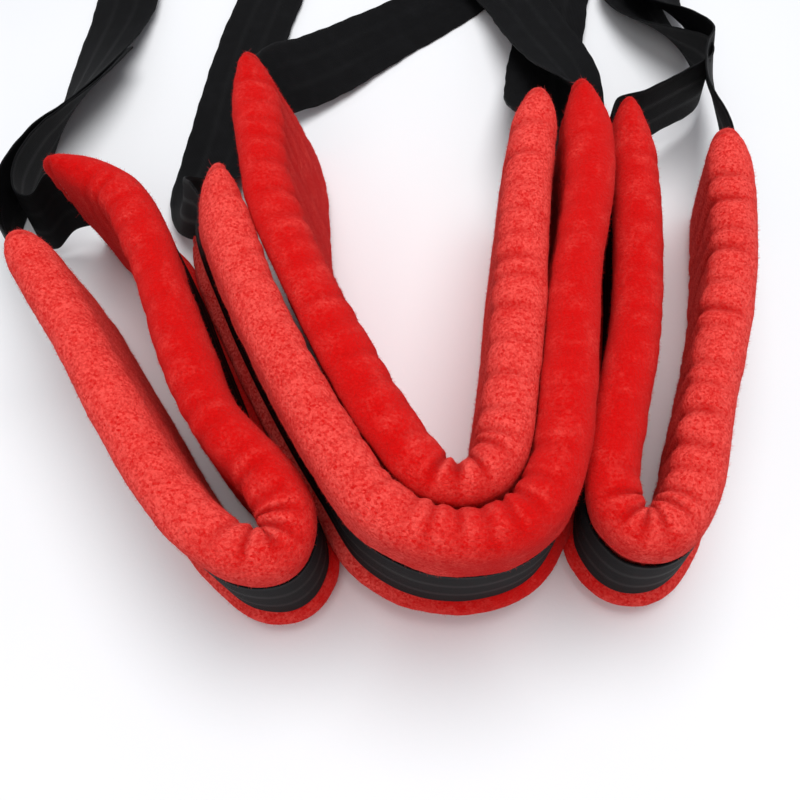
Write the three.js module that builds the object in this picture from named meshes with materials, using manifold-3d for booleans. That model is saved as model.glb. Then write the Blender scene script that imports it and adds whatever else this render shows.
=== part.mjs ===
// Padded suspension sling harness, laid out for storage: two leg slings and two body slings, each a
// plush-covered foam pad on webbing, with three-bar slides and D-rings on the webbing's ends.
// Millimetres, +Z up, origin under the middle of the whole, on the surface that it stands on.
import * as THREE from "three";
import { mergeVertices } from "three/addons/utils/BufferGeometryUtils.js";
import Module from "manifold-3d";

const wasm = await Module();
wasm.setup();

// ---- driving dimensions ----
const webbing = { width: 54, thickness: 2 };
const bodyPad = { width: 135, thickness: 27, recess: 8 };
const outerPad = { ...bodyPad, recess: 4.5 };
const legPad = { width: 110, thickness: 27, recess: 3 };
const plush = { wall: 2, hemThickness: 8, taperLength: 40 };
const clearance = { foam: 2, sewn: 0.6, channel: 1.5, slide: 0.4, bar: 0.8, table: 0.4 };
const foamSetback = 14; // from the sewn hem to the end of the foam
const ring = { wire: 6, sideClearance: 4.5, corner: 6, reach: 34 };
const slide = { bar: 3, rail: 4, length: 30 };
const hanger = { adjustable: 150, fixed: 48, slideFromRing: 90 };

// Steps of the meshes.
const padStations = 26;
const webbingStep = 15;
const ringSides = 8;

const material = {
  plush: new THREE.MeshStandardMaterial({ color: 0xd81618, roughness: 0.95, metalness: 0 }),
  foam: new THREE.MeshStandardMaterial({ color: 0xe8e2c8, roughness: 0.9, metalness: 0 }),
  webbing: new THREE.MeshStandardMaterial({ color: 0x141416, roughness: 0.7, metalness: 0 }),
  steel: new THREE.MeshStandardMaterial({ color: 0xc4c6c8, roughness: 0.25, metalness: 1 }),
};
const up = new THREE.Vector3(0, 0, 1);

// ---- how the slings lie ----
// A pad stands on its long edge. Each row is [top x, top y, foot x, foot y] of the middle of its
// thickness, from its left end round the bend to its right end. The leg slings' rows are counted
// from a line one body pad's thickness further out, so that a thicker body pad moves them aside.
// A strap row is [x, y, z, roll] of the middle of the webbing past the pad's end: roll 90 stands
// on edge, and at 0 the upper edge has fallen to the left of the way out, at 180 to the right.
// The rows are drawn for the sizes here. Where the real sizes differ, the outer body sling is
// pushed off the inner one, the leg slings move aside, and a hanger keeps its lane.
const drawn = { padThickness: 27, webbingWidth: 54 };
const grown = {
  pad: bodyPad.thickness - drawn.padThickness,
  webbing: webbing.width - drawn.webbingWidth,
};
const slings = [
  {
    name: "left_leg",
    pad: legPad,
    aside: -1,
    rows: [
      [-192, 326, -177, 330], [-153, 269, -138, 270], [-119, 215, -104, 217], [-91, 174, -77, 178],
      [-69, 151, -58, 158], [-48, 139, -44, 147], [-32, 141, -31, 147], [-28, 156, -24, 160],
      [-39, 178, -32, 184], [-69, 212, -60, 216], [-88, 249, -74, 251], [-102, 284, -89, 284],
      [-119, 325, -107, 325], [-139, 360, -128, 362], [-161, 374, -154, 386], [-183, 378, -180, 408],
    ],
    left: {
      points: [
        [-211, 346, 50, 92], [-231, 376, 36, 92], [-242, 404, 28, 90], [-240, 436, 26, 94],
        [-233, 468, 26, 104], [-226, 493, 24, 120], [-216, 540, 17, 140], [-209, 590, 10, 158],
        [-203, 645, 6, 173],
      ],
      hanger: { at: [-192, 845], heading: 86, adjustable: true },
    },
    right: {
      points: [
        [-197, 398, 48, 92], [-211, 394, 34, 92], [-226, 403, 27, 90], [-233.5, 428, 26, 92],
        [-228.5, 468, 26, 104], [-220.5, 495, 25.5, 120], [-209.5, 541, 20, 140],
        [-204.5, 578, 14.5, 154],
      ],
    },
  },
  {
    name: "outer_body",
    pad: outerPad,
    aside: 0,
    outside: true,
    rows: [
      [-101, 351, -141, 398], [-93, 318, -119, 357], [-77, 273, -92, 301], [-54, 224, -63, 246],
      [-32, 184, -35, 199], [-12, 155, -13, 165], [10, 141, 10, 151], [36, 138, 36, 149],
      [58, 148, 60, 157], [73, 172, 77, 180], [82, 215, 87, 222], [92, 282, 98, 285],
      [106, 350, 112, 352], [109, 388, 113, 390], [106, 418, 109, 424],
    ],
    left: {
      points: [
        [-143, 397, 46, 104], [-143, 430, 23, 146], [-138, 466, 7, 172], [-133, 505, 4, 180],
        [-127, 560, 4, 180], [-119, 616, 4, 180], [-109, 666, 3.5, 180],
      ],
      hanger: { at: [-88, 780], heading: 80 },
    },
    right: {
      points: [
        [127, 448, 66, 78], [128, 488, 56, 45], [121, 538, 43, 12], [107, 592, 29, 2],
        [90, 650, 17, 0],
      ],
      hanger: { at: [-30, 890], heading: 115, adjustable: true },
    },
  },
  {
    name: "inner_body",
    pad: bodyPad,
    aside: 0,
    rows: [
      [-92, 440, -68, 490], [-85, 392, -61, 420], [-74, 337, -54, 352], [-54, 286, -33, 304],
      [-30, 236, -12, 256], [-9, 197, 8, 214], [14, 168, 22, 189], [31, 166, 34, 184],
      [46, 179, 47, 193], [54.5, 215, 54, 226], [61.5, 265, 62, 272], [69, 330, 70, 335],
      [79, 395, 80, 398], [82, 412, 83, 415],
    ],
    left: {
      points: [
        [-97, 492, 52, 84], [-88, 524, 38, 62], [-60, 561, 21, 30], [-14, 612, 8, 12],
        [35, 655, 3.4, 4], [68, 690, 1.6, 0], [90, 730, 1.6, 0], [98, 770, 1.6, 0],
      ],
      hanger: { at: [94, 900], heading: 93, lane: -1.5 },
    },
    right: {
      points: [
        [101, 436, 60, 66], [101, 472, 48, 25], [103, 508, 34, 2], [112, 570, 16, 0],
        [124, 620, 8, 0], [133, 666, 5.5, 0],
      ],
      hanger: { at: [181, 892], heading: 81, adjustable: true },
    },
  },
  {
    name: "right_leg",
    pad: legPad,
    aside: 1,
    rows: [
      [114, 431, 119, 436], [115, 395, 122, 400], [110, 338, 120, 344], [99, 267, 111, 274],
      [84, 212, 96, 219], [77, 182, 87, 187], [77, 163, 85, 171], [86, 150, 95, 157],
      [99, 151, 108, 157], [113, 168, 125, 174], [131, 220, 146, 228], [147, 268, 163, 279],
      [161, 318, 178, 332], [169, 372, 188, 390], [171, 405, 192, 428],
    ],
    left: {
      points: [
        [116, 456, 57, 90], [134, 464, 57, 92], [168, 492, 50, 92], [194, 518, 42, 90],
        [201, 545, 35, 80], [191, 583, 23, 52], [177, 620, 12, 27], [168, 655, 5.5, 12],
        [172, 690, 1.8, 1], [176, 714, 1.6, 0],
      ],
    },
    right: {
      points: [
        [193, 444, 57, 74], [193, 480, 55, 62], [199, 520, 48, 66], [205, 548, 42, 82],
        [199, 585, 34, 60], [188, 622, 24, 35], [182, 655, 16, 18], [189, 688, 5.6, 2],
      ],
      hanger: { at: [229, 876], heading: 79, adjustable: true },
    },
  },
];

// ---- closed surfaces ----
// Builds one closed mesh from shared vertices and faces of three, facing out.
function closedSurface(vertices, faces) {
  const volume = faces.reduce((sum, [a, b, c]) => {
    const edge = new THREE.Vector3().crossVectors(vertices[b], vertices[c]);
    return sum + vertices[a].dot(edge);
  }, 0);
  const turned = volume < 0 ? faces.map(([a, b, c]) => [a, c, b]) : faces;
  const geometry = new THREE.BufferGeometry().setFromPoints(vertices);
  geometry.setIndex(turned.flat());
  geometry.computeVertexNormals();
  return geometry;
}

// Faces between two rings of `count` vertices that start at a and b. The side `otherWay` is cut
// along its other diagonal.
function band(a, b, count, otherWay = -1) {
  const faces = [];
  for (let i = 0; i < count; i++) {
    const j = (i + 1) % count;
    if (i === otherWay) faces.push([a + i, b + i, a + j], [b + i, b + j, a + j]);
    else faces.push([a + i, b + i, b + j], [a + i, b + j, a + j]);
  }
  return faces;
}

// Cuts a flat ring into faces of three, laid out in its own plane.
function endFaces(ring) {
  const normal = new THREE.Vector3();
  ring.forEach((p, i) => {
    const edge = new THREE.Vector3().crossVectors(p, ring[(i + 1) % ring.length]);
    normal.add(edge);
  });
  const side = ring[1].clone().sub(ring[0]).normalize();
  const rise = normal.normalize().cross(side);
  const flat = ring.map((p) => new THREE.Vector2(p.dot(side), p.dot(rise)));
  return THREE.ShapeUtils.triangulateShape(flat, []);
}

// A solid through a row of rings, with flat ends unless it closes on itself.
function loft(rings, { closed = false, otherWay = -1 } = {}) {
  const count = rings[0].length;
  const vertices = rings.flat();
  const faces = [];
  for (let k = 0; k + 1 < rings.length; k++) {
    faces.push(...band(k * count, (k + 1) * count, count, otherWay));
  }
  if (closed) {
    faces.push(...band((rings.length - 1) * count, 0, count));
    return closedSurface(vertices, faces);
  }
  [0, rings.length - 1].forEach((k) => {
    endFaces(rings[k]).forEach((corners) => {
      const face = corners.map((i) => k * count + i);
      faces.push(k ? face.reverse() : face);
    });
  });
  return closedSurface(vertices, faces);
}

// A sleeve between outer and inner rings, open at both ends.
function sleeve(outer, inner) {
  const count = outer[0].length;
  const last = outer.length - 1;
  const inside = outer.length * count;
  const faces = [];
  for (let k = 0; k < last; k++) {
    faces.push(...band(k * count, (k + 1) * count, count));
    const wall = band(inside + k * count, inside + (k + 1) * count, count);
    faces.push(...wall.map(([a, b, c]) => [a, c, b]));
  }
  faces.push(...band(inside, 0, count));
  faces.push(...band(last * count, inside + last * count, count));
  return closedSurface([...outer.flat(), ...inner.flat()], faces);
}

function named(name, geometry, look) {
  const mesh = new THREE.Mesh(geometry, look);
  mesh.name = name;
  return mesh;
}

// ---- pads ----
function planCurve(rows, x, y, height) {
  const points = rows.map((row) => new THREE.Vector3(row[x], row[y], height));
  return new THREE.CatmullRomCurve3(points, false, "centripetal");
}

// Moves rows off the loop's inside, along their own normals.
function pushedOut(rows, distance) {
  const top = planCurve(rows, 0, 1, 0);
  const foot = planCurve(rows, 2, 3, 0);
  return rows.map((row, i) => {
    const t = i / (rows.length - 1);
    const out = top.getTangent(t).add(foot.getTangent(t)).cross(up).normalize();
    return row.map((value, k) => value + distance * out.getComponent(k % 2));
  });
}

// The pad's middle surface: its place at a height, its outward direction and its half thickness.
function padForm({ pad, rows: drawnRows, outside }) {
  const rows = outside ? pushedOut(drawnRows, grown.pad) : drawnRows;
  const top = planCurve(rows, 0, 1, pad.width);
  const foot = planCurve(rows, 2, 3, 0);
  const length = top.getLength();
  const at = (t, height) => foot.getPoint(t).lerp(top.getPoint(t), height / pad.width);
  const outward = (t) => {
    const tangent = top.getTangent(t).add(foot.getTangent(t));
    return tangent.cross(up).normalize();
  };
  const halfThickness = (t) => {
    const fromEnd = Math.min(t, 1 - t) * length;
    const swell = Math.sin((Math.min(1, fromEnd / plush.taperLength) * Math.PI) / 2);
    return (plush.hemThickness + (pad.thickness - plush.hemThickness) * swell) / 2;
  };
  // Inside the bend, the foam crushes where the fold is tighter than the pad is thick.
  const bendRadius = (t, curve) => {
    const step = 0.02;
    const ends = [curve.getPoint(Math.max(0, t - step)), curve.getPoint(Math.min(1, t + step))];
    const turn = outward(Math.max(0, t - step)).angleTo(outward(Math.min(1, t + step)));
    return turn > 0.01 ? ends[0].distanceTo(ends[1]) / turn : Infinity;
  };
  const innerHalf = (t) => {
    const tightest = Math.min(bendRadius(t, top), bendRadius(t, foot));
    return Math.min(halfThickness(t), 0.85 * tightest);
  };
  const recess = (t) => pad.recess * ((2 * halfThickness(t)) / pad.thickness) ** 2;
  // How far a row's place has moved from where it is drawn.
  const moved = (k) => {
    const [real, plan] = [rows.at(k), drawnRows.at(k)];
    return new THREE.Vector3(real[2] - plan[2], real[3] - plan[3], 0);
  };
  return { pad, length, at, outward, halfThickness, innerHalf, recess, moved };
}

// The pad's section as [outward, height], with rolls along both edges and a channel for the webbing.
function padOutline(form, t, inset) {
  const width = form.pad.width;
  const outer = form.halfThickness(t) - inset;
  const inner = form.innerHalf(t) - inset;
  const channel = webbing.width / 2 + clearance.channel + inset;
  const floor = outer - form.recess(t);
  const slant = form.recess(t);
  const flat = width / 2 - channel - slant - inset - clearance.sewn / 2;
  const roll = Math.min(form.halfThickness(t), flat);
  const side = Math.SQRT1_2;
  const low = (share) => inset + roll * (1 - share);
  const high = (share) => width - inset - roll * (1 - share);
  return [
    [0, low(1)], [outer * side, low(side)], [outer, low(0)],
    [outer, width / 2 - channel - slant], [floor, width / 2 - channel],
    [floor, width / 2 + channel], [outer, width / 2 + channel + slant],
    [outer, high(0)], [outer * side, high(side)], [0, high(1)],
    [-inner * side, high(side)], [-inner, high(0)],
    [-inner, low(0)], [-inner * side, low(side)],
  ];
}

function padRings(form, inset, setback) {
  const stations = Array.from({ length: padStations + 1 }, (_, k) => k / padStations);
  const kept = stations.filter((t) => Math.min(t, 1 - t) * form.length >= setback);
  return kept.map((t) => {
    const outward = form.outward(t);
    return padOutline(form, t, inset).map(([n, z]) => form.at(t, z).addScaledVector(outward, n));
  });
}

// ---- webbing ----
// A strap is a row of stations: the middle of the webbing and the direction across its width.
function ribbon(stations) {
  const half = { width: webbing.width / 2, thickness: webbing.thickness / 2 };
  const rings = stations.map(({ place, across, outward }, k) => {
    const before = stations[Math.max(0, k - 1)].place;
    const after = stations[Math.min(stations.length - 1, k + 1)].place;
    const face = outward ?? after.clone().sub(before).cross(across).normalize();
    return [[1, 1], [-1, 1], [-1, -1], [1, -1]].map(([w, n]) =>
      place.clone().addScaledVector(across, w * half.width)
        .addScaledVector(face, n * half.thickness));
  });
  // Both faces are cut along the diagonals of the pad's channel, so that a twist keeps them apart.
  return loft(rings, { otherWay: 0 });
}

function padStretch(form) {
  const middle = form.pad.width / 2;
  return Array.from({ length: padStations + 1 }, (_, k) => {
    const t = k / padStations;
    const floor = form.halfThickness(t) - form.recess(t);
    const away = floor + clearance.sewn + webbing.thickness / 2;
    return {
      place: form.at(t, middle).addScaledVector(form.outward(t), away),
      across: form.at(t, form.pad.width).sub(form.at(t, 0)).divideScalar(form.pad.width),
      outward: form.outward(t),
    };
  });
}

// The least height of the webbing's middle, where its lower edge meets the table.
function restingHeight(roll) {
  const across = (webbing.width / 2) * Math.abs(Math.sin(roll));
  return across + (webbing.thickness / 2) * Math.abs(Math.cos(roll)) + clearance.table;
}

// The strap past a pad's end: first the free way, then, where it has a D-ring, the hanger's loop.
// Its first points move with the pad's end.
function strapPastEnd(first, { points, hanger: end }, moved) {
  const places = points.map(([x, y, z], i) =>
    new THREE.Vector3(x, y, z).addScaledVector(moved, Math.max(0, 1 - i / 3)));
  places.unshift(first.place);
  const rolls = [null, ...points.map((row) => row[3])];
  const loop = end ? hangerLoop(end, rolls.at(-1)) : [];
  if (end) places.push(loop[0].place);
  const curve = new THREE.CatmullRomCurve3(places, false, "centripetal");
  const spans = places.length - 1;
  const stations = [];
  for (let i = 0; i < spans; i++) {
    const steps = Math.max(1, Math.round(places[i].distanceTo(places[i + 1]) / webbingStep));
    for (let k = 1; k <= steps; k++) {
      const t = (i + k / steps) / spans;
      const along = curve.getTangent(t);
      const left = up.clone().cross(along).normalize();
      const from = rolls[i] ?? 90;
      const to = rolls[i + 1] ?? rolls[i];
      const roll = THREE.MathUtils.degToRad(from + ((to - from) * k) / steps);
      const turned = left.multiplyScalar(Math.cos(roll)).addScaledVector(up, Math.sin(roll));
      const place = curve.getPoint(t);
      place.z = Math.max(place.z, restingHeight(roll));
      stations.push({ place, across: turned });
    }
  }
  if (end) stations.pop();
  return [...stations, ...loop];
}

// Heights of the doubled webbing: an adjustable end rides over the slide's outer bars.
function hangerHeights(adjustable) {
  const under = adjustable ? slide.bar + clearance.slide : 0;
  const lower = clearance.table + under + webbing.thickness / 2;
  const upper = lower + webbing.thickness + clearance.sewn;
  const bend = ring.wire / 2 + clearance.bar + webbing.thickness / 2;
  const bar = Math.max(clearance.table + webbing.thickness / 2 + bend, (lower + upper) / 2);
  return { lower, upper, bend, bar };
}

function hangerPlace({ at: [x, y], lane = 0 }, height) {
  return new THREE.Vector3(x + lane * grown.webbing, y, height);
}

function headingOf({ heading }) {
  const angle = THREE.MathUtils.degToRad(heading);
  return new THREE.Vector3(Math.cos(angle), Math.sin(angle), 0);
}

function hangerLoop(end, lastRoll) {
  const { lower, upper, bend, bar } = hangerHeights(end.adjustable);
  const length = end.adjustable ? hanger.adjustable : hanger.fixed;
  const ahead = headingOf(end);
  const across = up.clone().cross(ahead).multiplyScalar(lastRoll > 90 ? -1 : 1);
  const profile = [[-length - 12, lower], [-length / 2, lower], [-2.6 * bend, lower]];
  const turns = 9;
  for (let k = 0; k <= turns; k++) {
    const angle = THREE.MathUtils.degToRad(-115 + (230 * k) / turns);
    profile.push([bend * Math.cos(angle), bar + bend * Math.sin(angle)]);
  }
  profile.push([-2.6 * bend, upper], [-length / 2, upper], [-length, upper]);
  return profile.map(([s, z]) => ({
    place: hangerPlace(end, z).addScaledVector(ahead, s),
    across,
  }));
}

// ---- hardware ----
// A D-ring whose straight bar runs along X through the origin and whose bow reaches towards +Y.
function dRing() {
  const half = webbing.width / 2 + ring.sideClearance + ring.wire / 2;
  const outline = new THREE.Path();
  outline.moveTo(0, 0).lineTo(half - ring.corner, 0);
  outline.absarc(half - ring.corner, ring.corner, ring.corner, -Math.PI / 2, 0);
  outline.absellipse(0, ring.corner, half, ring.reach - ring.corner, 0, Math.PI);
  outline.absarc(ring.corner - half, ring.corner, ring.corner, Math.PI, 1.5 * Math.PI);
  outline.lineTo(0, 0);
  const steps = 26;
  const rings = outline.getSpacedPoints(steps).slice(0, steps).map((point, k, all) => {
    const next = all[(k + 1) % steps].clone().sub(all[(k + steps - 1) % steps]).normalize();
    return Array.from({ length: ringSides }, (_, i) => {
      const angle = (2 * Math.PI * (i + 0.5)) / ringSides;
      const out = (ring.wire / 2) * Math.cos(angle);
      const height = (ring.wire / 2) * Math.sin(angle);
      return new THREE.Vector3(point.x + next.y * out, point.y - next.x * out, height);
    });
  });
  return loft(rings, { closed: true });
}

function solidOf(geometry) {
  const bare = geometry.clone();
  bare.deleteAttribute("normal");
  bare.deleteAttribute("uv");
  const merged = mergeVertices(bare, 1e-4);
  return new wasm.Manifold(new wasm.Mesh({
    numProp: 3,
    vertProperties: merged.attributes.position.array,
    triVerts: new Uint32Array(merged.index.array),
  }));
}

function joined(geometries) {
  const mesh = geometries.map(solidOf).reduce((all, one) => all.add(one)).getMesh();
  const geometry = new THREE.BufferGeometry();
  geometry.setAttribute("position", new THREE.BufferAttribute(mesh.vertProperties, 3));
  geometry.setIndex(new THREE.BufferAttribute(mesh.triVerts, 1));
  return geometry;
}

// A bent three-bar slide round the doubled webbing, which runs along Y through its middle. Two
// bars pass under both layers and the middle one over them. Its origin is on the table.
function threeBarSlide() {
  const { lower, upper } = hangerHeights(true);
  const low = lower - webbing.thickness / 2 - clearance.slide - slide.bar / 2;
  const high = upper + webbing.thickness / 2 + clearance.slide + slide.bar / 2;
  const reach = slide.length / 2 - slide.bar / 2;
  const inside = webbing.width / 2 + 2 * clearance.slide;
  const arch = (offset) => [-1, -0.5, 0, 0.5, 1].map((share) => {
    const height = low + (high - low) * Math.cos((share * Math.PI) / 2);
    return new THREE.Vector2(share * (reach + offset), height + offset);
  });
  const sideShape = new THREE.Shape([...arch(slide.bar / 2), ...arch(-slide.bar / 2).reverse()]);
  const pieces = [-1, 1].map((hand) => {
    const rail = new THREE.ExtrudeGeometry(sideShape, { depth: slide.rail, bevelEnabled: false });
    rail.translate(0, 0, hand > 0 ? inside : -inside - slide.rail);
    return rail.applyMatrix4(new THREE.Matrix4().set(0, 0, 1, 0, 1, 0, 0, 0, 0, 1, 0, 0, 0, 0, 0, 1));
  });
  [[-reach, low], [0, high], [reach, low]].forEach(([y, z]) => {
    const bar = new THREE.CylinderGeometry(slide.bar / 2, slide.bar / 2, 2 * inside + slide.rail, 10);
    pieces.push(bar.rotateZ(Math.PI / 2).translate(0, y, z));
  });
  return joined(pieces);
}

// ---- assembly ----
function hangerParts(name, end) {
  const parts = new THREE.Group();
  const { bar } = hangerHeights(end.adjustable);
  parts.position.copy(hangerPlace(end, 0));
  parts.rotation.z = THREE.MathUtils.degToRad(end.heading - 90);
  const dee = named(`${name}_ring`, dRing(), material.steel);
  dee.position.z = bar;
  dee.rotation.x = -Math.asin((bar - ring.wire / 2 - clearance.table) / ring.reach);
  parts.add(dee);
  if (end.adjustable) {
    const glide = named(`${name}_slide`, threeBarSlide(), material.steel);
    glide.position.y = -hanger.slideFromRing;
    parts.add(glide);
  }
  return parts;
}

function buildSling(sling) {
  const group = new THREE.Group();
  group.position.x = sling.aside * (bodyPad.thickness + grown.pad / 2 + grown.webbing);
  const form = padForm(sling);
  const inner = plush.wall;
  group.add(named(`${sling.name}_cover`, sleeve(padRings(form, 0, 0), padRings(form, inner, 0)),
    material.plush));
  group.add(named(`${sling.name}_foam`,
    loft(padRings(form, inner + clearance.foam, foamSetback)), material.foam));
  const stretch = padStretch(form);
  const stations = [
    ...strapPastEnd(stretch[0], sling.left, form.moved(0)).reverse(),
    ...stretch,
    ...strapPastEnd(stretch.at(-1), sling.right, form.moved(-1)),
  ];
  group.add(named(`${sling.name}_webbing`, ribbon(stations), material.webbing));
  ["left", "right"].forEach((side) => {
    const end = sling[side].hanger;
    if (!end) return;
    const both = sling.left.hanger && sling.right.hanger;
    group.add(hangerParts(both ? `${sling.name}_${side}` : sling.name, end));
  });
  return group;
}

const harness = new THREE.Group();
slings.forEach((sling) => harness.add(buildSling(sling)));
const box = new THREE.Box3().setFromObject(harness);
const middle = box.getCenter(new THREE.Vector3());
harness.position.set(-middle.x, -middle.y, -box.min.z);
const group = new THREE.Group();
group.add(harness);

export default group;
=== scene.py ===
"""Padded sling harness: two leg slings and two body slings of plush-covered foam on black webbing,
each bent into a loop that stands on its long edge, with D-rings and three-bar slides."""

import math
from collections import namedtuple

import bmesh
import bpy
import numpy as np
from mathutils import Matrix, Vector


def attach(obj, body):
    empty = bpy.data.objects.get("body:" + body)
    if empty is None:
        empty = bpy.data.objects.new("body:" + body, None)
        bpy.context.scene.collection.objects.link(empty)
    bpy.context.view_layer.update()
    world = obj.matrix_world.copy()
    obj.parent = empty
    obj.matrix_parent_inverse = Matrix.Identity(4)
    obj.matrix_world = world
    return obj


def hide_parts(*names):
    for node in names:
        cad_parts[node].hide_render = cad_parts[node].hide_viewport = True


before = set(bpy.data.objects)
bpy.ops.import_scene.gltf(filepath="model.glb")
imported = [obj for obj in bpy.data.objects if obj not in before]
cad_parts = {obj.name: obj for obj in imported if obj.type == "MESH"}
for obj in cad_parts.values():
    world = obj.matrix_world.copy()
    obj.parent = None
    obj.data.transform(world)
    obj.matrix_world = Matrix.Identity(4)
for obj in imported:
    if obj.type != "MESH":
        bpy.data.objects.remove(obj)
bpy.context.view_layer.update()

bl_info = {
    "name": "Padded Sling Harness",
    "version": (1, 0, 0),
    "blender": (4, 5, 0),
    "location": "3D View > Sidebar > Harness",
    "description": "Builds plush pads, webbing, rings and slides round a sling harness's frame",
    "category": "Add Mesh",
}

MM = 0.001
BODY = "slings"
HARNESS_AT = np.array([-14.22, -532.43, 0.0])  # the rows' origin in the frame, in millimetres
UP = np.array([0.0, 0.0, 1.0])

# A hanger is the D-ring's x and y, its heading in degrees, and whether a slide rides there.
Hanger = namedtuple("Hanger", "x y heading slide")

# How the slings lie, in millimetres. A pad's row is [top x, top y, foot x, foot y] of the middle
# of its thickness, from its left end round the bend to its right end. A strap's row is
# [x, y, z, roll] of the middle of the webbing past the pad's end: at roll 90 it stands on edge.
# "pile" is the painted sheen of the nap on the left arm and on the right: 1 is the paler red where
# the nap lies against the light, and it changes at the share "turn" of the length. "puckers" is
# how much the cover of each arm is gathered, and "ends" is how long each end's taper is and how
# thick its hem. "crush" is how much of a bend's radius the foam inside it may fill. A leg sling
# stands one pad's thickness further to the side that "aside" says, and "seed" starts a sling's
# random draws.
SLINGS = {
    "left_leg": {
        "pad": "leg", "aside": -1, "pile": (1.0, 0.0), "turn": 0.44, "seed": 3,
        "puckers": (0.2, 0.25), "ends": ((22, 15), (45, 8)),
        "rows": [
            [-192, 326, -177, 330], [-153, 269, -138, 270], [-119, 215, -104, 217],
            [-91, 174, -77, 178], [-69, 151, -58, 158], [-48, 139, -44, 147],
            [-32, 141, -31, 147], [-28, 156, -24, 160], [-39, 178, -32, 184],
            [-69, 212, -60, 216], [-88, 249, -74, 251], [-102, 284, -89, 284],
            [-119, 325, -107, 325], [-139, 360, -128, 362], [-161, 374, -154, 386],
            [-183, 378, -180, 408],
        ],
        "left": [
            [-211, 346, 50, 92], [-231, 376, 36, 92], [-242, 404, 28, 90],
            [-240, 436, 26, 94], [-233, 468, 26, 104], [-226, 493, 24, 120],
            [-216, 540, 17, 140], [-209, 590, 10, 158], [-203, 645, 6, 173],
        ],
        "right": [
            [-197, 398, 48, 92], [-211, 394, 34, 92], [-226, 403, 27, 90],
            [-233.5, 428, 26, 92], [-228.5, 468, 26, 104], [-220.5, 495, 25.5, 120],
            [-209.5, 541, 20, 140], [-204.5, 578, 14.5, 154],
        ],
        "left_hanger": Hanger(-192, 845, 86, True),
    },
    "outer_body": {
        "pad": "outer", "aside": 0, "pile": (1.0, 0.0), "turn": 0.46, "seed": 11,
        "puckers": (0.3, 0.2), "ends": ((46, 9), (40, 9)),
        "rows": [
            [-101, 351, -141, 398], [-93, 318, -119, 357], [-77, 273, -92, 301],
            [-54, 224, -63, 246], [-32, 184, -35, 199], [-12, 155, -13, 165],
            [10, 141, 10, 151], [36, 138, 36, 149], [58, 148, 60, 157], [73, 172, 77, 180],
            [82, 215, 87, 222], [92, 282, 98, 285], [106, 350, 112, 352],
            [109, 388, 113, 390], [106, 418, 109, 424],
        ],
        "left": [
            [-143, 397, 46, 104], [-143, 430, 23, 146], [-138, 466, 7, 172],
            [-133, 505, 4, 180], [-127, 560, 4, 180], [-119, 616, 4, 180],
            [-109, 666, 3.5, 180],
        ],
        "right": [
            [127, 448, 66, 78], [128, 488, 56, 45], [121, 538, 43, 12],
            [107, 592, 29, 2], [90, 650, 17, 0],
        ],
        "left_hanger": Hanger(-88, 780, 80, False),
        "right_hanger": Hanger(-30, 890, 115, True),
    },
    "inner_body": {
        "pad": "body", "aside": 0, "pile": (0.0, 0.9), "turn": 0.56, "seed": 23, "crush": 0.5,
        "puckers": (0.45, 0.6), "ends": ((46, 8), (26, 13)),
        "rows": [
            [-92, 440, -68, 490], [-85, 392, -61, 420], [-74, 337, -54, 352],
            [-54, 286, -33, 304], [-30, 236, -12, 256], [-9, 197, 8, 214],
            [14, 168, 22, 189], [31, 166, 34, 184], [46, 179, 47, 193],
            [54.5, 215, 54, 226], [61.5, 265, 62, 272], [69, 330, 70, 335],
            [79, 395, 80, 398], [82, 412, 83, 415],
        ],
        "left": [
            [-97, 492, 52, 84], [-88, 524, 38, 62], [-60, 561, 21, 30], [-14, 612, 8, 12],
            [35, 655, 3.4, 4], [68, 690, 1.6, 0], [90, 730, 1.6, 0], [98, 770, 1.6, 0],
        ],
        "right": [
            [101, 436, 60, 66], [101, 472, 48, 25], [103, 508, 34, 2], [112, 570, 16, 0],
            [124, 620, 8, 0], [133, 666, 5.5, 0],
        ],
        "left_hanger": Hanger(94, 900, 93, False),
        "right_hanger": Hanger(181, 892, 81, True),
    },
    "right_leg": {
        "pad": "leg", "aside": 1, "pile": (0.0, 1.0), "turn": 0.5, "seed": 37,
        "puckers": (0.2, 1.0), "ends": ((38, 9), (28, 13)),
        "rows": [
            [114, 431, 119, 436], [115, 395, 122, 400], [110, 338, 120, 344],
            [99, 267, 111, 274], [84, 212, 96, 219], [77, 182, 87, 187], [77, 163, 85, 171],
            [86, 150, 95, 157], [99, 151, 108, 157], [113, 168, 125, 174],
            [131, 220, 146, 228], [147, 268, 163, 279], [161, 318, 178, 332],
            [169, 372, 188, 390], [171, 405, 192, 428],
        ],
        "left": [
            [116, 456, 57, 90], [134, 464, 57, 92], [168, 492, 50, 92], [194, 518, 42, 90],
            [201, 545, 35, 80], [191, 583, 23, 52], [177, 620, 12, 27], [168, 655, 5.5, 12],
            [172, 690, 1.8, 1], [176, 714, 1.6, 0],
        ],
        "right": [
            [193, 444, 57, 74], [193, 480, 55, 62], [199, 520, 48, 66], [205, 548, 42, 82],
            [199, 585, 34, 60], [188, 622, 24, 35], [182, 655, 16, 18], [189, 688, 5.6, 2],
        ],
        "right_hanger": Hanger(229, 876, 79, True),
    },
}


# ---- sizes and colours ----
def length_property(name, description, default):
    return bpy.props.FloatProperty(
        name=name, description=description, default=default * MM, min=0.0,
        unit="LENGTH", subtype="DISTANCE")


def colour_property(name, description, default):
    return bpy.props.FloatVectorProperty(
        name=name, description=description, default=default, size=4, subtype="COLOR",
        min=0.0, max=1.0)


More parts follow.
